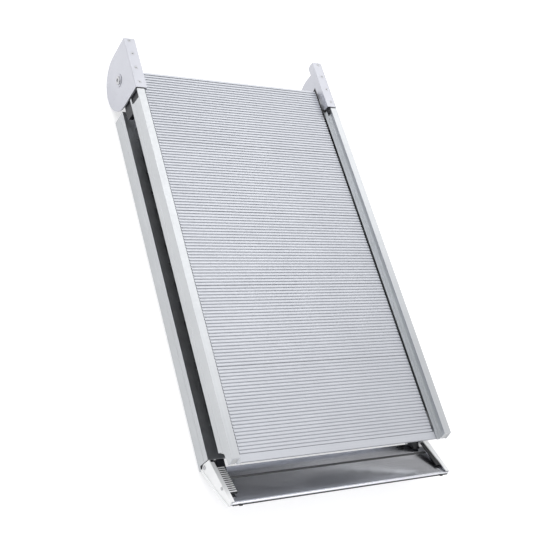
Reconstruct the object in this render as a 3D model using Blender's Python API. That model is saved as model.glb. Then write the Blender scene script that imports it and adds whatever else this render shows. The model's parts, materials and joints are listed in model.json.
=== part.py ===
"""Bi-fold aluminium dog ramp, stored folded and lying flat.

Frame: metres, +Z up, +X across the ramp, +Y along the panels towards the fold hinge, origin
under the middle of the folded ramp. Panel B lies at the bottom with its tread facing down.
Panel A lies on it with its tread facing up, and swings up and over about the fold pins
(axis -X) to make one long ramp. A short lip is hinged on the free end of panel B. All sizes
below are in millimetres, and Y is counted from the free end of panel A until the last step,
which moves the ramp to its origin.
"""
import math

import bmesh
import bpy
from mathutils import Matrix, Vector

for old in list(bpy.data.objects):
    bpy.data.objects.remove(old, do_unlink=True)

MM = 0.001

# ---- driving dimensions (mm) ----
WIDTH = 420.0            # across the outer faces of the side rails
HALF = WIDTH / 2
RAIL_H = 34.5            # depth of a side rail
PANEL_T = 105.0          # between the two curb faces of the folded ramp
CENTRE_Y = 365.7         # middle of the folded ramp's length, where the origin goes
FOLD_Y = 729.5           # fold axis, along the panel
FOLD_Z = 56.0            # fold axis, height
TOP_A = FOLD_Z + PANEL_T / 2      # curb face of panel A
TOP_B = FOLD_Z - PANEL_T / 2      # curb face of panel B (faces down)

RAIL_A_END = 673.2       # hinge end of panel A's rails
RAIL_B_END = 675.5       # hinge end of panel B's rails
RAIL_A_START = 4.0       # free end of panel A
RAIL_B_START = 25.0      # free end of panel B (curb face), wall starts at RAIL_B_WALL
RAIL_B_WALL = 32.5
WALL = 2.5
TREAD_D = 16.0           # tread surface below the curb face
PLANK_T = 15.7
PLANK_HALF = 186.0       # half length of a plank, between the rail ledges
STRIP_HALF = 195.0       # half length of the end strip, under the rail ledges
TREAD_START = 19.2
TREAD_END = 719.2
PLANKS = 5
RIBS = 25                # ribs on one plank
RIB_H = 1.3
DECK_D = TREAD_D + RIB_H + 2.0    # underside of the deck, below the curb face
LEGS = 3

SLOT_PITCH = 35.5        # slots through the base flange of a rail
SLOT_LEN = 15.5
SLOT_FIRST = 646.5
SLOTS = 17

COVER_HALF = 53.5        # hinge cover: half length along Y
COVER_BEND = 2.6         # outer radius of its bend
COVER_OUT = 211.7        # outer face of the cover
COVER_T = 2.5
FLANGE_T = 2.0
FLANGE_IN = 190.7        # inner edge of the cover's top flange
SKIRT_D = 17.2           # depth of the inner skirt
PIN_R = 5.0
SCREW_X = 202.3
SCREW_Y = (687.6, 718.3, 749.0, 777.6)

LIP_Y = 26.0             # lip axis
LIP_Z = 22.0
LIP_BEND = math.radians(34.0)
SEAL_U = (28.2, 33.3)    # groove of the grey seal across the lip, along the lip from its axis
SEAL_HALF = 203.0
CHEEK_SCREW = (57.7, 5.2)
CHEEK_SWEEP_Z = 10.4     # the lip's cheek stays above this as it swings

CLEAR = 0.3


# ---- materials ----
def material(name, colour, roughness, metallic):
    mat = bpy.data.materials.new(name)
    mat.use_nodes = True
    bsdf = mat.node_tree.nodes["Principled BSDF"]
    bsdf.inputs["Base Color"].default_value = (*colour, 1.0)
    bsdf.inputs["Roughness"].default_value = roughness
    bsdf.inputs["Metallic"].default_value = metallic
    return mat


RAIL_ALU = material("anodised_rail", (0.80, 0.81, 0.82), 0.38, 0.9)
TREAD_ALU = material("ribbed_tread", (0.78, 0.79, 0.84), 0.42, 0.9)
COVER_ALU = material("hinge_cover", (0.80, 0.81, 0.83), 0.40, 0.9)
LIP_ALU = material("lip_sheet", (0.70, 0.71, 0.74), 0.22, 1.0)
CHEEK_ALU = material("lip_cheek", (0.92, 0.92, 0.93), 0.35, 0.6)
STEEL = material("steel_fastener", (0.35, 0.36, 0.38), 0.35, 1.0)
BLACK = material("black_plastic", (0.020, 0.021, 0.026), 0.55, 0.0)
RUBBER = material("black_rubber", (0.035, 0.036, 0.040), 0.75, 0.0)
SEAL = material("grey_seal", (0.16, 0.16, 0.165), 0.8, 0.0)
PLUG = material("grey_end_plug", (0.52, 0.53, 0.54), 0.5, 0.0)


# ---- frames: a moving piece is parented to the empty on its joint axis ----
def empty(name, y, z, parent=None):
    obj = bpy.data.objects.new(name, None)
    bpy.context.scene.collection.objects.link(obj)
    base = Vector((0.0, 0.0, 0.0))
    if parent:
        obj.parent = parent
        base = FRAME_AT[parent.name]
    FRAME_AT[name] = Vector((0.0, y * MM, z * MM))
    obj.location = FRAME_AT[name] - base
    return obj


FRAME_AT = {}
PANEL_B = empty("frame_panel_b", 0.0, 0.0)
PANEL_A = empty("frame_panel_a", FOLD_Y, FOLD_Z, PANEL_B)
LIP = empty("frame_lip", LIP_Y, LIP_Z, PANEL_B)


# ---- mesh helpers ----
def finish(obj, frame, mat, smooth=False):
    """Give the piece its material and hang it on its frame."""
    obj.data.materials.clear()
    obj.data.materials.append(mat)
    at = FRAME_AT[frame.name]
    obj.data.transform(Matrix.Translation(-at))
    obj.parent = frame
    if smooth:
        obj.data.shade_smooth()
        obj.data.set_sharp_from_angle(angle=math.radians(35))
    return obj


def to_object(name, bm):
    bmesh.ops.recalc_face_normals(bm, faces=bm.faces)
    mesh = bpy.data.meshes.new(name)
    bm.to_mesh(mesh)
    bm.free()
    obj = bpy.data.objects.new(name, mesh)
    bpy.context.scene.collection.objects.link(obj)
    return obj


def prism(name, outline, low, high, place):
    """A closed prism: outline points (p, q) at low and high, put in space by place(p, q, t)."""
    bm = bmesh.new()
    rings = []
    for t in (low, high):
        rings.append([bm.verts.new(Vector(place(p, q, t)) * MM) for p, q in outline])
    n = len(outline)
    for i in range(n):
        j = (i + 1) % n
        bm.faces.new((rings[0][i], rings[0][j], rings[1][j], rings[1][i]))
    bm.faces.new(rings[0][::-1])
    bm.faces.new(rings[1])
    return to_object(name, bm)


def along_x(side):
    """Outline in (y, z), swept along X on the given side of the ramp."""
    return lambda p, q, t: (side * t, p, q)


def along_y(p, q, t):
    return (p, t, q)


def along_z(p, q, t):
    return (p, q, t)


def box(name, x0, x1, y0, y1, z0, z1):
    outline = [(x0, y0), (x1, y0), (x1, y1), (x0, y1)]
    return prism(name, outline, z0, z1, along_z)


def disc(cy, cz, r, segments=32):
    step = 2 * math.pi / segments
    return [(cy + r * math.cos(i * step), cz + r * math.sin(i * step)) for i in range(segments)]


def arc(cy, cz, r, a0, a1, segments):
    a0, a1 = math.radians(a0), math.radians(a1)
    points = []
    for i in range(segments + 1):
        a = a0 + (a1 - a0) * i / segments
        points.append((cy + r * math.cos(a), cz + r * math.sin(a)))
    return points


def combine(obj, other, operation):
    """Apply an exact Boolean of obj with other, and drop other."""
    mod = obj.modifiers.new("combine", "BOOLEAN")
    mod.operation = operation
    mod.solver = "EXACT"
    mod.object = other
    depsgraph = bpy.context.evaluated_depsgraph_get()
    depsgraph.update()
    mesh = bpy.data.meshes.new_from_object(obj.evaluated_get(depsgraph))
    obj.modifiers.clear()
    old_mesh = obj.data
    obj.data = mesh
    mesh.name = old_mesh.name
    bpy.data.meshes.remove(old_mesh)
    bpy.data.objects.remove(other, do_unlink=True)
    return obj


def cut(obj, *tools):
    for tool in tools:
        combine(obj, tool, "DIFFERENCE")
    return obj


def join(obj, *others):
    for other in others:
        combine(obj, other, "UNION")
    return obj


# ---- side rails ----
def rail_section():
    """(u, d): u inwards from the outer face, d down from the curb face."""
    curb = [(0, 0), (13.65, 0), (13.65, 10), (16.5, 10), (16.5, 14), (20.8, 14), (20.8, 15.7)]
    inside = [(14.3, 15.7), (14.3, 12.2), (11.45, 12.2), (11.45, 2.2), (WALL, 2.2), (WALL, 32)]
    base = [(34, 32), (34, RAIL_H), (0, RAIL_H)]
    groove = [(0, 23.0), (0.7, 22.6), (0.7, 21.6), (0, 21.2)]
    return curb + inside + base + groove


def rail(name, side, top, up, start, end):
    """up is +1 for panel A (curb face up) and -1 for panel B (curb face down)."""
    outline = [(side * (HALF - u), top - up * d) for u, d in rail_section()]
    obj = prism(name, outline, start, end, along_y)
    flange = sorted((top - up * 31.0, top - up * (RAIL_H + 1)))
    for k in range(SLOTS):
        y = SLOT_FIRST - SLOT_PITCH * k
        cut(obj, box("slot", *sorted((side * (HALF - 17.5), side * (HALF - 23.0))),
                     y - SLOT_LEN / 2, y + SLOT_LEN / 2, *flange))
    return obj


# free end of panel A's rails, top to bottom
END_RAKE = [(12.4, 120), (4.5, 93), (22.5, 89.4), (29.2, 77.5), (29.2, 60)]


def rail_a(name, side):
    obj = rail(name, side, TOP_A, 1, RAIL_A_START, RAIL_A_END)
    # feathered ground end: raked top corner and a stepped lower corner
    cut(obj, prism("end", END_RAKE + [(-30, 60), (-30, 120)], 100, 260, along_x(side)))
    # window in the outer wall and gap in the base flange for the hinge arm
    window = [(659, TOP_A - 25.5), (656.5, TOP_A - 2.8), (690, TOP_A - 2.8), (690, TOP_A - 29.5),
              (661, TOP_A - 29.5)]
    cut(obj, prism("window", window, HALF - WALL - 0.4, HALF + 5, along_x(side)))
    cut(obj, box("arm_gap", *sorted((side * (HALF - WALL), side * (HALF - 12.5))),
                 646, 690, TOP_A - RAIL_H - 1, TOP_A - 31))
    return finish(obj, PANEL_A, RAIL_ALU)


def rail_b(name, side):
    obj = rail(name, side, TOP_B, -1, RAIL_B_START, RAIL_B_END)
    # only the lowest stretch of the outer wall runs to the end, under the lip's cheek
    wall = [(-10, CHEEK_SWEEP_Z), (RAIL_B_WALL, CHEEK_SWEEP_Z), (RAIL_B_WALL, 60), (-10, 60)]
    cut(obj, prism("wall_end", wall, 100, 260, along_x(side)))
    return finish(obj, PANEL_B, RAIL_ALU)


def end_plug(name, side):
    """Light plastic plug in the curb's hollow at the raked end of rail A, cut to the same rake."""
    top, low = TOP_A - 2.5, TOP_A - 31.7
    outline = [(60, top), (8.7, top), (5.2, 93.3), (23.0, 89.7), (29.9, 77.4), (29.9, low), (60, low)]
    obj = prism(name, outline, HALF - 11.15, HALF - WALL - CLEAR, along_x(side))
    return finish(obj, PANEL_A, PLUG)


# ---- tread planks ----
PLANK_PITCH = (TREAD_END - TREAD_START) / PLANKS
RIB_PITCH = PLANK_PITCH / RIBS


def plank_outline(y0, ribs, legs):
    """(y, d) outline: ribbed deck with hanging legs, d down from the curb face."""
    length = ribs * RIB_PITCH - CLEAR
    top = []
    for i in range(ribs):
        y = y0 + i * RIB_PITCH
        top += [(y + 0.3, TREAD_D + RIB_H), (y + 1.0, TREAD_D),
                (y + RIB_PITCH - 1.9, TREAD_D), (y + RIB_PITCH - 1.3, TREAD_D + RIB_H)]
    top[0] = (y0, TREAD_D + RIB_H)
    top[-1] = (y0 + length, TREAD_D + RIB_H)
    foot = TREAD_D + PLANK_T
    under = [(y0 + length, DECK_D)]
    for k in reversed(range(legs)):
        y = y0 + length * (k + 0.5) / legs
        under += [(y + 1.0, DECK_D), (y + 1.0, foot - 1.6), (y + 7.0, foot - 1.6), (y + 7.0, foot),
                  (y - 7.0, foot), (y - 7.0, foot - 1.6), (y - 1.0, foot - 1.6), (y - 1.0, DECK_D)]
    under.append((y0, DECK_D))
    return top + under


def plank(name, frame, top, up, y0, ribs):
    outline = [(y, top - up * d) for y, d in plank_outline(y0, ribs, LEGS)]
    obj = prism(name, outline, -PLANK_HALF, PLANK_HALF, along_x(1))
    return finish(obj, frame, TREAD_ALU)


def tread(label, frame, top, up, first_ribs):
    """Planks from the free end to the hinge, the first one shortened to first_ribs."""
    for i in range(PLANKS):
        y0 = TREAD_START + i * PLANK_PITCH
        ribs = RIBS
        if i == 0:
            y0 += (RIBS - first_ribs) * RIB_PITCH
            ribs = first_ribs
        plank(f"{label}_plank_{i + 1}", frame, top, up, y0, ribs)
    z = sorted((top - up * (TREAD_D + 0.2), top - up * (TREAD_D + PLANK_T)))
    nosing = box(f"{label}_hinge_nosing", -PLANK_HALF, PLANK_HALF, TREAD_END, TREAD_END + 3.6, *z)
    finish(nosing, frame, TREAD_ALU)


def end_strip():
    """Smooth nosing plate across the ground end of panel A."""
    z = TOP_A - TREAD_D - 0.1
    tab = z - DECK_D + TREAD_D - 0.2       # it reaches under the first plank's deck
    outline = [(6.4, z - 0.8), (7.2, z), (TREAD_START - CLEAR, z), (TREAD_START - CLEAR, tab),
               (31.0, tab), (31.0, tab - 1.5), (14.0, tab - 1.5), (6.4, z - 2.6)]
    obj = prism("panel_a_end_strip", outline, -STRIP_HALF, STRIP_HALF, along_x(1))
    return finish(obj, PANEL_A, TREAD_ALU)


# ---- fold hinge ----
def cover(name, side):
    """Bent sheet: round outer plate, top flange and a short inner skirt."""
    stretch = FOLD_Z / COVER_HALF          # the belly reaches down to the floor
    belly = [(y, FOLD_Z + (z - FOLD_Z) * stretch)
             for y, z in arc(FOLD_Y, FOLD_Z, COVER_HALF, 0, -180, 32)]
    outline = [(FOLD_Y - COVER_HALF, TOP_A), (FOLD_Y + COVER_HALF, TOP_A)] + belly
    obj = prism(name, outline, COVER_OUT - COVER_T, COVER_OUT, along_x(side))
    y0, y1 = FOLD_Y - COVER_HALF, FOLD_Y + COVER_HALF
    flange = box("flange", *sorted((side * FLANGE_IN, side * (COVER_OUT - 1))), y0, y1,
                 TOP_A - FLANGE_T, TOP_A)
    skirt_low = TOP_A - SKIRT_D
    skirt_outline = [(y0, TOP_A - 0.5), (y1, TOP_A - 0.5), (y1, skirt_low + 6), (y1 - 2, skirt_low + 2),
                     (y1 - 6, skirt_low), (y0 + 6, skirt_low), (y0, skirt_low + 6)]
    skirt = prism("skirt", skirt_outline, FLANGE_IN, FLANGE_IN + 2.0, along_x(side))
    join(obj, flange, skirt)
    # round the bend between plate and flange
    corner_x, corner_z = COVER_OUT - COVER_BEND, TOP_A - COVER_BEND
    round_edge = [(side * x, z) for x, z in arc(corner_x, corner_z, COVER_BEND, 0, 90, 6)]
    outside = [(side * corner_x, TOP_A + 2), (side * (COVER_OUT + 2), TOP_A + 2),
               (side * (COVER_OUT + 2), corner_z)]
    cut(obj, prism("bend", round_edge + outside, y0 - 1, y1 + 1, along_y))
    cut(obj, prism("bore", disc(FOLD_Y, FOLD_Z, PIN_R + CLEAR), 200, 220, along_x(side)))
    for y in SCREW_Y:
        hole = disc(side * SCREW_X, y, 3.2, 20)
        cut(obj, prism("hole", hole, TOP_A - 5, TOP_A + 5, along_z))
    return finish(obj, PANEL_A, COVER_ALU)


def arm_a(name, side):
    """Black arm plugged into rail A: bar under the flange, web, pin boss and a thin collar."""
    top = TOP_A - FLANGE_T - CLEAR
    boss = arc(FOLD_Y, FOLD_Z, 15.0, 60, -150, 14)
    tongue_top = TOP_A - 2.6
    # the tongue stays under the rail's top wall, the bar outside reaches the flange
    bar = [(600, top - 26.0), (600, tongue_top), (676.3, tongue_top), (676.3, top),
           (780.5, top), (780.5, top - 16), (745.0, top - 16)]
    low = [(700, 47.0), (662, 45.0), (650, 49.0), (649, top - 26.0)]
    outline = bar + boss + low
    obj = prism(name, outline, 198.9, 207.2, along_x(side))
    # the collar fills the joint between the rail's end and the cover, with a finger on the ledge
    ring_y = (RAIL_A_END + CLEAR, FOLD_Y - COVER_HALF - CLEAR)
    collar = [(side * x, TOP_A - d) for x, d in
              ((196.6, 0.4), (208.6, 0.4), (209.7, 1.6), (209.7, 28), (198.9, 28), (198.9, 9.6),
               (192.9, 9.6), (192.9, 5.0), (196.6, 2.4))]
    finger = box("finger", *sorted((side * 192.9, side * 196.0)), 665.0, ring_y[1],
                 TOP_A - 9.6, TOP_A - 5.0)
    join(obj, prism("collar", collar, *ring_y, along_y), finger)
    cut(obj, prism("bore", disc(FOLD_Y, FOLD_Z, PIN_R + CLEAR), 190, 220, along_x(side)))
    for y in SCREW_Y:
        hole = disc(side * SCREW_X, y, 1.8, 12)
        cut(obj, prism("hole", hole, top - 11, top + 5, along_z))
    return finish(obj, PANEL_A, BLACK)


def arm_b(name, side):
    """Cranked arm plugged into rail B, inboard of arm A at the pin."""
    tongue = prism(name, [(600, 8.0), (677.0, 8.0), (677.0, 35.0), (600, 35.0)],
                   199.5, 207.0, along_x(side))
    # crank: a step inboard inside the rail's end, then the web up to the pin
    low, high = 24.0, 34.8
    crank = box("crank", *sorted((side * 195.6, side * 201.0)), 655.0, 678.0, low, high)
    boss = arc(FOLD_Y, FOLD_Z, 16.0, -60, 120, 16)
    foot = [(676.5, high), (667.0, high), (667.0, low)]
    web = prism("web", foot + boss, 193.2, 197.9, along_x(side))
    join(tongue, crank, web)
    cut(tongue, prism("bore", disc(FOLD_Y, FOLD_Z, PIN_R + CLEAR), 190, 220, along_x(side)))
    return finish(tongue, PANEL_B, COVER_ALU)


def ring(name, frame, side, cy, cz, r_in, r_out, x0, x1, mat, segments=32):
    obj = prism(name, disc(cy, cz, r_out, segments), x0, x1, along_x(side))
    cut(obj, prism("bore", disc(cy, cz, r_in, segments), x0 - 5, x1 + 5, along_x(side)))
    return finish(obj, frame, mat, smooth=True)


def turned(name, side, cy, cz, profile, segments, socket_r, socket_x):
    """Turned piece from (r, x) points along X, with a hexagon socket in its outer end."""
    bm = bmesh.new()
    rings = []
    for r, x in profile:
        ring_points = []
        for i in range(segments):
            a = 2 * math.pi * i / segments
            point = Vector((side * x, cy + r * math.cos(a), cz + r * math.sin(a))) * MM
            ring_points.append(bm.verts.new(point))
        rings.append(ring_points)
    for a, b in zip(rings, rings[1:]):
        for i in range(segments):
            j = (i + 1) % segments
            bm.faces.new((a[i], a[j], b[j], b[i]))
    bm.faces.new(rings[0][::-1])
    bm.faces.new(rings[-1])
    obj = to_object(name, bm)
    if socket_r:
        cut(obj, prism("socket", disc(cy, cz, socket_r, 6), *socket_x, along_x(side)))
    return obj


def fold_pin(name, side):
    profile = [(PIN_R, 193.5), (PIN_R, 213.0), (7.8, 213.0), (7.8, 213.8), (7.0, 214.6), (5.0, 214.9)]
    obj = turned(name, side, FOLD_Y, FOLD_Z, profile, 28, 3.6, (213.2, 220))
    return finish(obj, PANEL_A, STEEL, smooth=True)


def cover_screw(name, side, y):
    """Socket screw standing in the cover's flange, threaded into arm A."""
    top = TOP_A - 0.1
    bm = bmesh.new()
    profile = [(1.5, top - 11.0), (1.5, top - 1.8), (2.95, top - 1.7), (2.95, top)]
    rings = []
    segments = 16
    for r, z in profile:
        ring_points = []
        for i in range(segments):
            a = 2 * math.pi * i / segments
            point = Vector((side * SCREW_X + r * math.cos(a), y + r * math.sin(a), z)) * MM
            ring_points.append(bm.verts.new(point))
        rings.append(ring_points)
    for a, b in zip(rings, rings[1:]):
        for i in range(segments):
            j = (i + 1) % segments
            bm.faces.new((a[i], a[j], b[j], b[i]))
    bm.faces.new(rings[0][::-1])
    bm.faces.new(rings[-1])
    obj = to_object(name, bm)
    cut(obj, prism("socket", disc(side * SCREW_X, y, 1.55, 6), top - 1.3, top + 3, along_z))
    return finish(obj, PANEL_A, STEEL, smooth=True)


# ---- hinged lip, drawn in (u, n): u outwards from its axis, n towards the underside ----
def lip_point(u, n):
    y = LIP_Y - u * math.cos(LIP_BEND) + n * math.sin(LIP_BEND)
    z = LIP_Z + u * math.sin(LIP_BEND) + n * math.cos(LIP_BEND)
    return y, z


def lip_sweep(side):
    return lambda u, n, t: (side * t, *lip_point(u, n))


def lip_plan(x, u, n):
    y, z = lip_point(u, n)
    return (x, y, z)


CHEEK = [(-3.0, 5.0), (-5.2, 1.5), (-5.2, -3.0), (-3.6, -10.5), (52, -10.5), (84, -7.6), (87, -5.0),
         (87.5, 3.5), (72, 6.8), (55, 9.8), (37, 13.2), (20, 16.6), (6.2, 18.6)]
CHEEK_EDGE = [(11.0, 18.2), (20, 16.6), (37, 13.2), (55, 9.8), (72, 6.8), (86.5, 4.0)]
CHEEK_RIM = [(-3.6, -10.5), (52, -10.5), (84, -7.6), (86.5, -5.5), (84.5, -3.8), (52, -6.6),
             (-3.0, -6.6), (-5.2, -6.8)]

STRIP_U = (20.5, 70.0)   # rubber strip and comb, along the lip; it clears the blocks as it swings
FLANGE_TIP = 203.2       # inner edge of a cheek's flange at its tip
FLANGE_WIDE = 198.4      # and of the right one at the pivot
COMB_TEETH = 13
COMB_X = 190.5           # inner ends of the comb's teeth


def strip_edge(u):
    """Height n of the cheek flange's outer face along its straight stretch."""
    return 17.7 - 0.183 * (u - 11.0)


def edge_band(edge, depth0, depth1):
    """Closed outline of a band that follows an edge, between two depths under it."""
    upper = [(u, n - depth0) for u, n in edge]
    lower = [(u, n - depth1) for u, n in edge]
    return upper + lower[::-1]


def cheek(side, flange_inner):
    """Side plate with a proud rim and a flange along its edge."""
    obj = prism("cheek", CHEEK, 208.2, HALF, lip_sweep(side))
    flange = prism("flange", edge_band(CHEEK_EDGE, 0.0, 1.8), flange_inner, 209.0, lip_sweep(side))
    rim = prism("rim", CHEEK_RIM, 209.0, HALF + 0.9, lip_sweep(side))
    join(obj, flange, rim)
    cut(obj, prism("bore", disc(0, 0, 2.5, 20), 200, 220, lip_sweep(side)))
    cut(obj, prism("hole", disc(*CHEEK_SCREW, 1.8, 12), 200, 220, lip_sweep(side)))
    return obj


def cheek_left():
    """The left cheek carries a comb on its flange."""
    obj = cheek(-1, FLANGE_TIP)
    obj.name = "lip_cheek_left"
    pitch = (STRIP_U[1] - STRIP_U[0]) / COMB_TEETH
    for i in range(COMB_TEETH):
        u0 = STRIP_U[0] + (i + 0.3) * pitch
        u1 = u0 + 0.36 * pitch
        tooth = [(u0, strip_edge(u0) - 0.1), (u1, strip_edge(u1) - 0.1),
                 (u1, strip_edge(u1) - 1.1), (u0, strip_edge(u0) - 1.1)]
        join(obj, prism("tooth", tooth, COMB_X, FLANGE_TIP + 0.8, lip_sweep(-1)))
    return finish(obj, LIP, CHEEK_ALU)


def cheek_right():
    """The right cheek has a plain flange, wide at the pivot and narrow at the tip."""
    obj = cheek(1, FLANGE_WIDE)
    obj.name = "lip_cheek_right"
    plan = [(FLANGE_WIDE - 5, 0), (FLANGE_WIDE, 0), (FLANGE_WIDE, 14), (FLANGE_TIP, 76),
            (FLANGE_TIP, 95), (FLANGE_WIDE - 5, 95)]
    cut(obj, prism("taper", plan, -30, 40, lip_plan))
    return finish(obj, LIP, CHEEK_ALU)


def lip_plate():
    """Sheet with upturned sides and a round nose, notched round the pivot blocks."""
    wide, narrow, notch = 207.8, 198.4, 15.0     # half widths, and the notch's depth
    plan = [(-narrow, 4.5), (narrow, 4.5), (narrow, notch), (wide, notch), (wide, 84), (-wide, 84),
            (-wide, notch), (-narrow, notch)]
    obj = prism("lip_plate", plan, -2.5, 0.5, lip_plan)
    for side in (-1, 1):
        wall = [(26, -1.5), (80, -1.5), (80, 2.8), (70, 4.4), (60, 6.6), (54, 7.4), (26, 3.0)]
        join(obj, prism("side_wall", wall, 205.8, wide, lip_sweep(side)))
    join(obj, prism("nose", disc(85.2, -2.2, 2.6, 24), -wide, wide, lip_sweep(1)))
    groove = [(SEAL_U[0], -0.8), (SEAL_U[1], -0.8), (SEAL_U[1], 1.5), (SEAL_U[0], 1.5)]
    cut(obj, prism("groove", groove, -SEAL_HALF - CLEAR, SEAL_HALF + CLEAR, lip_sweep(1)))
    for side in (-1, 1):
        cut(obj, prism("hole", disc(*CHEEK_SCREW, 1.8, 12), 200, 220, lip_sweep(side)))
    return finish(obj, LIP, LIP_ALU)


def lip_seal():
    """Grey rubber seal in the sheet's groove, just under the face."""
    u0, u1 = SEAL_U[0] + CLEAR, SEAL_U[1] - CLEAR
    outline = [(u0, -0.5), (u1, -0.5), (u1, 0.2), (u1 - 0.5, 0.4), (u0 + 0.5, 0.4), (u0, 0.2)]
    obj = prism("lip_seal", outline, -SEAL_HALF, SEAL_HALF, lip_sweep(1))
    return finish(obj, LIP, SEAL)


def lip_block(name, side):
    """Black plug in the end of rail B: holds the lip pin and stops the lip."""
    plug_outline = [(78, 9.0), (78, 35.0), (24.5, 35.0)] + arc(LIP_Y, LIP_Z, 4.6, 125, 280, 8) \
        + [(36, 14.0), (36, 9.0)]
    obj = prism(name, plug_outline, 200.0, 207.0, along_x(side))
    bridge = box("bridge", *sorted((side * 182.5, side * 203.0)), 24.6, 32.0, 28.2, 34.8)
    wedge = [(32.0, 37.8), (9.5, 37.8), (9.5, 34.9), (23.0, 26.2), (32.0, 28.0)]
    join(obj, bridge, prism("wedge", wedge, 182.5, 195.3, along_x(side)))
    cut(obj, prism("bore", disc(LIP_Y, LIP_Z, 2.4, 20), 190, 220, along_x(side)))
    return finish(obj, PANEL_B, BLACK)


def lip_pin(name, side):
    profile = [(2.1, 200.5), (2.1, 210.3), (3.6, 210.3), (3.6, 211.2), (2.6, 211.7)]
    obj = turned(name, side, LIP_Y, LIP_Z, profile, 18, 1.2, (211.0, 215))
    return finish(obj, PANEL_B, STEEL, smooth=True)


def cheek_screw(name, side):
    y, z = lip_point(*CHEEK_SCREW)
    profile = [(1.4, 205.6), (1.4, 210.3), (2.6, 210.3), (2.6, 211.0), (1.8, 211.4)]
    obj = turned(name, side, y, z, profile, 14, 0.9, (210.9, 215))
    return finish(obj, LIP, STEEL, smooth=True)


def grip_strip(name, side, inner):
    """Black rubber strip under the cheek's flange."""
    u0, u1 = STRIP_U
    band = [(u0, strip_edge(u0) - 2.1), (u1, strip_edge(u1) - 2.1),
            (u1, strip_edge(u1) - 4.0), (u0, strip_edge(u0) - 4.0)]
    obj = prism(name, band, inner, 202.8, lip_sweep(side))
    base = [(u0, strip_edge(u0) - 2.2), (u1, strip_edge(u1) - 2.2),
            (u1, strip_edge(u1) - 4.0), (u0, strip_edge(u0) - 4.0)]
    join(obj, prism("base", base, 201.0, 205.3, lip_sweep(side)))
    return finish(obj, LIP, RUBBER)


def edge_rubber():
    outline = [(88.1, -3.0), (88.9, -3.0), (88.9, -1.4), (88.1, -1.4)]
    obj = prism("lip_edge_rubber", outline, -206.0, 206.0, lip_sweep(1))
    return finish(obj, LIP, RUBBER)


def foot(name, side):
    outline = [(89.2, -3.4), (90.7, -3.0), (90.7, -1.2), (89.2, -0.8)]
    obj = prism(name, outline, 190.0, 195.0, lip_sweep(side))
    return finish(obj, LIP, RUBBER)


# ---- assembly ----
SIDES = (("left", -1), ("right", 1))

for label, side in SIDES:
    rail_a(f"panel_a_rail_{label}", side)
    rail_b(f"panel_b_rail_{label}", side)
    end_plug(f"panel_a_end_plug_{label}", side)
    cover(f"hinge_cover_{label}", side)
    arm_a(f"hinge_arm_a_{label}", side)
    arm_b(f"hinge_arm_b_{label}", side)
    fold_pin(f"hinge_pin_{label}", side)
    ring(f"hinge_washer_{label}", PANEL_A, side, FOLD_Y, FOLD_Z, 5.4, 11.5, 212.0, 212.7, COVER_ALU)
    ring(f"hinge_spacer_{label}", PANEL_A, side, FOLD_Y, FOLD_Z, 5.4, 13.0, 207.5, 208.9, BLACK, 24)
    for number, y in enumerate(SCREW_Y, 1):
        cover_screw(f"cover_screw_{label}_{number}", side, y)
    lip_block(f"lip_block_{label}", side)
    lip_pin(f"lip_pin_{label}", side)
    cheek_screw(f"lip_cheek_screw_{label}", side)
    foot(f"lip_foot_{label}", side)

tread("panel_a", PANEL_A, TOP_A, 1, RIBS)
tread("panel_b", PANEL_B, TOP_B, -1, RIBS - 3)
end_strip()
cheek_left()
cheek_right()
grip_strip("lip_grip_strip_left", -1, COMB_X - 0.8)
grip_strip("lip_grip_strip_right", 1, FLANGE_WIDE - 3.4)
lip_plate()
lip_seal()
edge_rubber()

# ---- origin: under the middle of the folded ramp ----
PANEL_B.location.y = -CENTRE_Y * MM
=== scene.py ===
"""Looks for the folding dog ramp: materials, finer tread planks, light, floor and camera.

Metres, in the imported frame: +X across the ramp, +Y towards the fold hinge, +Z up.
"""
import json
import math

import bmesh
import bpy
from mathutils import Matrix, Vector


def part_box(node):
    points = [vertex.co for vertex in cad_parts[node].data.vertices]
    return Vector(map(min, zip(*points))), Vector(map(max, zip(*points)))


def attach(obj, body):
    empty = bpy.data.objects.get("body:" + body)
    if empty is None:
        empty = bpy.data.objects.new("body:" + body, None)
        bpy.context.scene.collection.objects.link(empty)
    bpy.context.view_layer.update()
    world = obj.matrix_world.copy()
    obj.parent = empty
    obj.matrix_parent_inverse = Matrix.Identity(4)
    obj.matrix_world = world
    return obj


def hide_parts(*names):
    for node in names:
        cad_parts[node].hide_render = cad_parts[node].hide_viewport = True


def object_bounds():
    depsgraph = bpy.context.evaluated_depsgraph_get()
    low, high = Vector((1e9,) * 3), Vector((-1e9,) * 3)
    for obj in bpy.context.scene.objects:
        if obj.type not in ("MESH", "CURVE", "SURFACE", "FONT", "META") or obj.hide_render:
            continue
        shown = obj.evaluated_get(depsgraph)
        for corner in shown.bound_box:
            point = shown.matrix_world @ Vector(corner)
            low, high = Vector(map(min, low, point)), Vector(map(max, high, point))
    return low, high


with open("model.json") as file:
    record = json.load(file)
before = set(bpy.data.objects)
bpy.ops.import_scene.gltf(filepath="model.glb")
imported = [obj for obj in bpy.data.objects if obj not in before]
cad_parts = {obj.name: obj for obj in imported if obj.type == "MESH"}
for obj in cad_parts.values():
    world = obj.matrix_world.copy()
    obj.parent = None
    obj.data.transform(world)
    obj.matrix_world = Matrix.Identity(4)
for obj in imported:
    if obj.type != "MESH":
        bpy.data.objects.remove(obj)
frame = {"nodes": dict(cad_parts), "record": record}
NODES = frame["nodes"]
CAD_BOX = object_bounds()
MM = 0.001

# ---- camera: where it stands, which way it looks, and its lens ----
CAMERA_AT = (-0.9298, -0.7147, 1.3264)
CAMERA_FORWARD = (0.5325, 0.4085, -0.7408)
CAMERA_UP = (0.0015, 0.8753, 0.4835)
SENSOR_MM = 36.0
LENS_MM = 67.13

# ---- studio ----
SKY = 1.13                # brightness overhead
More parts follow.
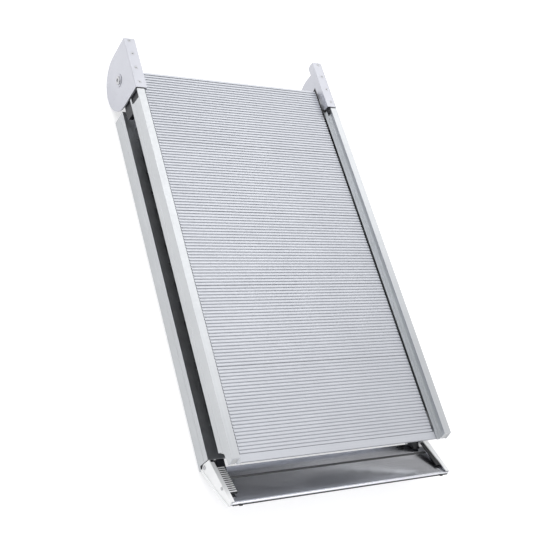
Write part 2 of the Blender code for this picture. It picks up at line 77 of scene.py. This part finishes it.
# height of the direction, brightness: a thin bright horizon, dim low walls, bright ceiling
SKY_STOPS = ((0.0, 0.92), (0.03, 0.88), (0.05, 0.20), (0.35, 0.50), (0.80, 1.0))
FLOOR_GLOW = 0.50         # the floor is a light table, so that shadows stay faint
FLOOR_GREY = 0.66
FLOOR_HALF = 30.0
FLOOR_GAP = 0.4 * MM      # under the ramp, so that the two don't share a plane
LIGHT_SIDE = 1.5          # both lights are square
KEY_AT = (1.25, 1.45, 1.9)        # the tread mirrors this place to the camera
KEY_TARGET = (0.0, 0.2, 0.1)
KEY_POWER = 7.5
FILL_AT = (-1.3, 1.2, 1.9)        # the right curb sees this place in the tread
FILL_TARGET = (0.0, 0.0, 0.1)
FILL_POWER = 12.0

# ---- tread ----
PLANKS = 5
RIBS = 25                 # ribs on a whole plank
RIB_DEPTH = 1.3 * MM
RIB_ROUND = 0.35 * MM     # radius of a rib's upper edges
RIB_FOOT = 0.30 * MM      # foot of the first flank, after the pitch line
RIB_LEFT = 0.55 * MM      # top of the first flank, after the pitch line
RIB_RIGHT = 1.35 * MM     # top of the second flank, before the next pitch line
RIB_LEAN = 0.25 * MM      # how far the second flank runs out
ARC_STEPS = 3
DECK_T = 3.3 * MM         # ribs and sheet
FOOT_T = 1.6 * MM
FOOT_HALF = 7.0 * MM
WEB_HALF = 1.0 * MM
LEGS = 3

# ---- edges ----
SHARP_ANGLE = math.radians(40)
WELD_DISTANCE = 0.002 * MM
EDGE_BREAK = {"anodised_rail": 0.30 * MM, "hinge_cover": 0.25 * MM, "lip_cheek": 0.25 * MM}


# ---- node helpers ----
class Nodes:
    """A material's node tree, with short calls for what every material here uses."""

    def __init__(self, name):
        self.material = bpy.data.materials.new(name)
        self.material.use_nodes = True
        self.tree = self.material.node_tree
        self.bsdf = self.tree.nodes["Principled BSDF"]
        self.place = self.tree.nodes.new("ShaderNodeTexCoord").outputs["Object"]

    def link(self, source, target):
        self.tree.links.new(source, target)

    def scaled(self, scale):
        mapping = self.tree.nodes.new("ShaderNodeMapping")
        mapping.inputs["Scale"].default_value = scale
        self.link(self.place, mapping.inputs["Vector"])
        return mapping.outputs["Vector"]

    def noise(self, scale, detail=2.0, rough=0.5):
        """Noise whose grain is 1/scale metres along each axis."""
        node = self.tree.nodes.new("ShaderNodeTexNoise")
        node.inputs["Scale"].default_value = 1.0
        node.inputs["Detail"].default_value = detail
        node.inputs["Roughness"].default_value = rough
        self.link(self.scaled(scale), node.inputs["Vector"])
        return node.outputs["Fac"]

    def ramp(self, value, low, high, from_low=0.3, from_high=0.7):
        """Map a value to low..high."""
        node = self.tree.nodes.new("ShaderNodeMapRange")
        node.inputs["From Min"].default_value = from_low
        node.inputs["From Max"].default_value = from_high
        node.inputs["To Min"].default_value = low
        node.inputs["To Max"].default_value = high
        self.link(value, node.inputs["Value"])
        return node.outputs["Result"]

    def mix(self, fac, a, b):
        """Mix two colours, each a tuple or a socket."""
        node = self.tree.nodes.new("ShaderNodeMix")
        node.data_type = "RGBA"
        self.link(fac, node.inputs["Factor"])
        for socket, value in ((node.inputs[6], a), (node.inputs[7], b)):
            if isinstance(value, tuple):
                socket.default_value = (*value, 1.0)
            else:
                self.link(value, socket)
        return node.outputs[2]

    def math(self, operation, a, b):
        """Math node on two values, each a number or a socket."""
        node = self.tree.nodes.new("ShaderNodeMath")
        node.operation = operation
        for socket, value in zip(node.inputs, (a, b)):
            if isinstance(value, (int, float)):
                socket.default_value = value
            else:
                self.link(value, socket)
        return node.outputs[0]

    def bump(self, height, depth, strength):
        """Surface relief of a depth in metres."""
        node = self.tree.nodes.new("ShaderNodeBump")
        node.inputs["Distance"].default_value = depth
        node.inputs["Strength"].default_value = strength
        self.link(height, node.inputs["Height"])
        self.link(node.outputs["Normal"], self.bsdf.inputs["Normal"])

    def set(self, **values):
        """Set the shader's own sockets, with _ for a space in their names."""
        for name, value in values.items():
            self.bsdf.inputs[name.replace("_", " ")].default_value = value


# ---- materials ----
def drawn_aluminium(name, dark, light, streak, roughness, metallic, tilt):
    """Anodised extrusion: die streaks along one axis, faint clouding, a little scuffing."""
    m = Nodes(name)
    die = m.noise(streak, 3.0, 0.6)
    cloud = m.noise((14.0, 14.0, 14.0), 3.0)
    scuff = m.noise((160.0, 160.0, 160.0), 4.0, 0.65)
    tone = m.math("ADD", m.math("MULTIPLY", die, 0.6), m.math("MULTIPLY", cloud, 0.4))
    m.link(m.mix(m.ramp(tone, 0.0, 1.0, 0.35, 0.65), dark, light), m.bsdf.inputs["Base Color"])
    worn = m.math("ADD", m.ramp(die, -0.04, 0.04), m.ramp(scuff, roughness - 0.03, roughness + 0.05))
    m.link(worn, m.bsdf.inputs["Roughness"])
    m.bump(die, 0.0001, tilt)
    m.set(Metallic=metallic)
    return m.material


def rail_finish():
    return drawn_aluminium("anodised_rail", (0.51, 0.525, 0.54), (0.56, 0.575, 0.59),
                           (420.0, 2.0, 420.0), 0.34, 1.0, tilt=0.008)


def tread_finish():
    return drawn_aluminium("ribbed_tread", (0.525, 0.54, 0.575), (0.57, 0.585, 0.62),
                           (2.5, 700.0, 700.0), 0.40, 0.92, tilt=0.012)


def cover_finish():
    """Bead-blasted and anodised plate: an even grain with no direction."""
    m = Nodes("hinge_cover")
    grain = m.noise((2200.0, 2200.0, 2200.0), 2.0)
    cloud = m.noise((18.0, 18.0, 18.0), 3.0)
    m.link(m.mix(m.ramp(cloud, 0.0, 1.0), (0.56, 0.568, 0.612), (0.595, 0.603, 0.647)),
           m.bsdf.inputs["Base Color"])
    m.link(m.ramp(grain, 0.40, 0.50), m.bsdf.inputs["Roughness"])
    m.bump(grain, 0.00006, 0.25)
    m.set(Metallic=0.9)
    return m.material


def lip_finish():
    """Bright sheet, brushed across the ramp."""
    m = Nodes("lip_sheet")
    brush = m.noise((9.0, 2600.0, 2600.0), 4.0, 0.65)
    cloud = m.noise((10.0, 22.0, 22.0), 2.0)
    m.link(m.mix(m.ramp(brush, 0.0, 1.0), (0.76, 0.77, 0.82), (0.90, 0.91, 0.945)),
           m.bsdf.inputs["Base Color"])
    m.link(m.math("ADD", m.ramp(brush, -0.05, 0.05), m.ramp(cloud, 0.12, 0.19)),
           m.bsdf.inputs["Roughness"])
    m.bump(brush, 0.0001, 0.06)
    m.set(Metallic=1.0)
    return m.material


def cheek_finish():
    """White-bright satin cheek."""
    m = Nodes("lip_cheek")
    grain = m.noise((1800.0, 1800.0, 1800.0), 2.0)
    cloud = m.noise((25.0, 25.0, 25.0), 3.0)
    m.link(m.mix(m.ramp(cloud, 0.0, 1.0), (0.82, 0.83, 0.835), (0.89, 0.895, 0.90)),
           m.bsdf.inputs["Base Color"])
    m.link(m.ramp(grain, 0.34, 0.44), m.bsdf.inputs["Roughness"])
    m.bump(grain, 0.00005, 0.2)
    m.set(Metallic=0.35)
    return m.material


def steel_finish():
    """Turned steel with fine tool marks."""
    m = Nodes("steel_fastener")
    turn = m.noise((900.0, 900.0, 900.0), 3.0, 0.7)
    m.link(m.mix(m.ramp(turn, 0.0, 1.0), (0.46, 0.465, 0.48), (0.60, 0.605, 0.62)),
           m.bsdf.inputs["Base Color"])
    m.link(m.ramp(turn, 0.26, 0.40), m.bsdf.inputs["Roughness"])
    m.bump(turn, 0.00004, 0.2)
    m.set(Metallic=1.0)
    return m.material


def plastic_finish():
    """Moulded black plastic with a fine spark-eroded grain."""
    m = Nodes("black_plastic")
    grain = m.noise((1700.0, 1700.0, 1700.0), 3.0, 0.6)
    m.link(m.mix(m.ramp(grain, 0.0, 1.0), (0.007, 0.008, 0.011), (0.016, 0.017, 0.022)),
           m.bsdf.inputs["Base Color"])
    m.link(m.ramp(grain, 0.38, 0.52), m.bsdf.inputs["Roughness"])
    m.bump(grain, 0.0001, 0.5)
    return m.material


def plug_finish():
    """Light grey moulded end plug."""
    m = Nodes("grey_end_plug")
    grain = m.noise((1500.0, 1500.0, 1500.0), 3.0, 0.6)
    m.link(m.mix(m.ramp(grain, 0.0, 1.0), (0.50, 0.51, 0.52), (0.58, 0.59, 0.60)),
           m.bsdf.inputs["Base Color"])
    m.link(m.ramp(grain, 0.42, 0.58), m.bsdf.inputs["Roughness"])
    m.bump(grain, 0.00008, 0.4)
    return m.material


def seal_finish():
    """Grey extruded rubber, dusted along its length."""
    m = Nodes("grey_seal")
    dust = m.noise((30.0, 900.0, 900.0), 4.0, 0.6)
    m.link(m.mix(m.ramp(dust, 0.0, 1.0), (0.13, 0.132, 0.138), (0.19, 0.192, 0.197)),
           m.bsdf.inputs["Base Color"])
    m.link(m.ramp(dust, 0.62, 0.80), m.bsdf.inputs["Roughness"])
    m.bump(dust, 0.0001, 0.4)
    return m.material


def rubber_finish():
    """Black rubber with a grey bloom."""
    m = Nodes("black_rubber")
    bloom = m.noise((60.0, 60.0, 60.0), 4.0, 0.6)
    grain = m.noise((1300.0, 1300.0, 1300.0), 2.0)
    m.link(m.mix(m.ramp(bloom, 0.0, 1.0), (0.020, 0.020, 0.022), (0.050, 0.051, 0.054)),
           m.bsdf.inputs["Base Color"])
    m.link(m.ramp(grain, 0.62, 0.82), m.bsdf.inputs["Roughness"])
    m.bump(grain, 0.00012, 0.5)
    return m.material


FINISHES = {
    "anodised_rail": rail_finish(), "ribbed_tread": tread_finish(),
    "hinge_cover": cover_finish(), "lip_sheet": lip_finish(), "lip_cheek": cheek_finish(),
    "steel_fastener": steel_finish(), "black_plastic": plastic_finish(),
    "black_rubber": rubber_finish(), "grey_seal": seal_finish(), "grey_end_plug": plug_finish(),
}
SLOT_OF = {row["node"]: row["material_slot"] for row in frame["record"]["subparts"]}


# ---- finer tread planks ----
def rib_outline(y, pitch, top, up):
    """One rounded rib, from the groove before it: (y, z) points, with up the tread's side."""
    left, right = y + RIB_LEFT, y + pitch - RIB_RIGHT
    low = top - up * RIB_DEPTH
    points = [(y + RIB_FOOT, low)]
    for k in range(ARC_STEPS + 1):
        a = math.pi * (1.0 - k / (2.0 * ARC_STEPS))
        z = top - up * RIB_ROUND * (1 - math.sin(a))
        points.append((left + RIB_ROUND * (1 + math.cos(a)), z))
    for k in range(ARC_STEPS + 1):
        a = math.pi / 2 * (1.0 - k / float(ARC_STEPS))
        z = top - up * RIB_ROUND * (1 - math.sin(a))
        points.append((right - RIB_ROUND * (1 - math.cos(a)), z))
    points.append((right + RIB_LEAN, low))
    return points


def plank_outline(low, high, up, ribs):
    """(y, z) outline of a plank: rounded ribs, sheet and hanging legs."""
    top = high.z if up > 0 else low.z
    foot = low.z if up > 0 else high.z
    y0, y1 = low.y, high.y
    pitch = (y1 - y0) / ribs
    outline = [(y0, top - up * RIB_DEPTH)]
    for i in range(ribs):
        outline += rib_outline(y0 + i * pitch, pitch, top, up)
    outline.append((y1, top - up * RIB_DEPTH))
    deck = top - up * DECK_T
    outline.append((y1, deck))
    for k in reversed(range(LEGS)):
        y = y0 + (y1 - y0) * (k + 0.5) / LEGS
        inner = foot + up * FOOT_T
        outline += [(y + WEB_HALF, deck), (y + WEB_HALF, inner), (y + FOOT_HALF, inner),
                    (y + FOOT_HALF, foot), (y - FOOT_HALF, foot), (y - FOOT_HALF, inner),
                    (y - WEB_HALF, inner), (y - WEB_HALF, deck)]
    outline.append((y0, deck))
    return outline


def prism_x(name, outline, x0, x1):
    """Closed prism of a (y, z) outline between x0 and x1."""
    bm = bmesh.new()
    rings = [[bm.verts.new((x, y, z)) for y, z in outline] for x in (x0, x1)]
    n = len(outline)
    for i in range(n):
        j = (i + 1) % n
        bm.faces.new((rings[0][i], rings[0][j], rings[1][j], rings[1][i]))
    bm.faces.new(rings[0][::-1])
    bm.faces.new(rings[1])
    bmesh.ops.recalc_face_normals(bm, faces=bm.faces)
    mesh = bpy.data.meshes.new(name)
    bm.to_mesh(mesh)
    bm.free()
    obj = bpy.data.objects.new(name, mesh)
    bpy.context.scene.collection.objects.link(obj)
    return obj


def fine_plank(node, body, up, ribs):
    """Stand a plank with rounded ribs in for the plain one."""
    low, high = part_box(node)
    obj = prism_x(node + "_ribbed", plank_outline(low, high, up, ribs), low.x, high.x)
    obj.data.materials.append(FINISHES["ribbed_tread"])
    obj.data.shade_smooth()
    obj.data.set_sharp_from_angle(angle=SHARP_ANGLE)
    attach(obj, body)
    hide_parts(node)


for body, up in (("panel_a", 1), ("panel_b", -1)):
    for number in range(1, PLANKS + 1):
        short = body == "panel_b" and number == 1
        fine_plank(f"{body}_plank_{number}", body, up, RIBS - 3 if short else RIBS)

# ---- CAD nodes: finish, and edges broken as on the real sheet and extrusions ----
for name, obj in NODES.items():
    if obj.hide_render:
        continue
    slot = SLOT_OF[name]
    obj.data.materials.clear()
    obj.data.materials.append(FINISHES[slot])
    if slot in EDGE_BREAK:
        weld = obj.modifiers.new("weld", "WELD")
        weld.merge_threshold = WELD_DISTANCE
        bevel = obj.modifiers.new("edge", "BEVEL")
        bevel.width = EDGE_BREAK[slot]
        bevel.segments = 2
        bevel.limit_method = "ANGLE"
        bevel.angle_limit = SHARP_ANGLE


# ---- light, floor, camera ----
def area_light(name, at, target, power):
    data = bpy.data.lights.new(name, "AREA")
    data.shape = "RECTANGLE"
    data.size = data.size_y = LIGHT_SIDE
    data.energy = power
    lamp = bpy.data.objects.new(name, data)
    lamp.location = at
    lamp.rotation_mode = "QUATERNION"
    lamp.rotation_quaternion = (Vector(target) - Vector(at)).to_track_quat("-Z", "Y")
    bpy.context.scene.collection.objects.link(lamp)


def sky():
    """Soft white studio all round, with its brightness set by height."""
    world = bpy.data.worlds.new("studio")
    world.use_nodes = True
    tree = world.node_tree
    background = tree.nodes["Background"]
    place = tree.nodes.new("ShaderNodeTexCoord")
    split = tree.nodes.new("ShaderNodeSeparateXYZ")
    tree.links.new(place.outputs["Generated"], split.inputs["Vector"])
    ramp = tree.nodes.new("ShaderNodeValToRGB")
    for index, (at, level) in enumerate(SKY_STOPS):
        if index == 0:
            stop = ramp.color_ramp.elements[0]
        elif index == len(SKY_STOPS) - 1:
            stop = ramp.color_ramp.elements[-1]
            stop.position = at
        else:
            stop = ramp.color_ramp.elements.new(at)
        stop.color = (level, level, level * 1.01, 1.0)
    tree.links.new(split.outputs["Z"], ramp.inputs["Fac"])
    tree.links.new(ramp.outputs["Color"], background.inputs["Color"])
    background.inputs["Strength"].default_value = SKY
    bpy.context.scene.world = world


def floor():
    """Plain white floor that glows a little."""
    z = CAD_BOX[0].z - FLOOR_GAP
    corners = [(x * FLOOR_HALF, y * FLOOR_HALF, z) for x, y in ((-1, -1), (1, -1), (1, 1), (-1, 1))]
    mesh = bpy.data.meshes.new("floor")
    mesh.from_pydata(corners, [], [(0, 1, 2, 3)])
    obj = bpy.data.objects.new("floor", mesh)
    bpy.context.scene.collection.objects.link(obj)
    m = Nodes("floor_white")
    m.set(Roughness=0.9, Emission_Strength=FLOOR_GLOW)
    m.bsdf.inputs["Base Color"].default_value = (FLOOR_GREY, FLOOR_GREY, FLOOR_GREY, 1.0)
    m.bsdf.inputs["Emission Color"].default_value = (1.0, 1.0, 1.0, 1.0)
    mesh.materials.append(m.material)


def camera():
    forward, up = Vector(CAMERA_FORWARD).normalized(), Vector(CAMERA_UP).normalized()
    right = forward.cross(up).normalized()
    up = right.cross(forward)
    turn = Matrix((right, up, -forward)).transposed()
    data = bpy.data.cameras.new("camera")
    data.sensor_width = SENSOR_MM
    data.lens = LENS_MM
    obj = bpy.data.objects.new("camera", data)
    obj.matrix_world = Matrix.Translation(CAMERA_AT) @ turn.to_4x4()
    bpy.context.scene.collection.objects.link(obj)
    bpy.context.scene.camera = obj


sky()
floor()
camera()
area_light("key", KEY_AT, KEY_TARGET, KEY_POWER)
area_light("fill", FILL_AT, FILL_TARGET, FILL_POWER)
bpy.context.scene.view_settings.view_transform = "Standard"
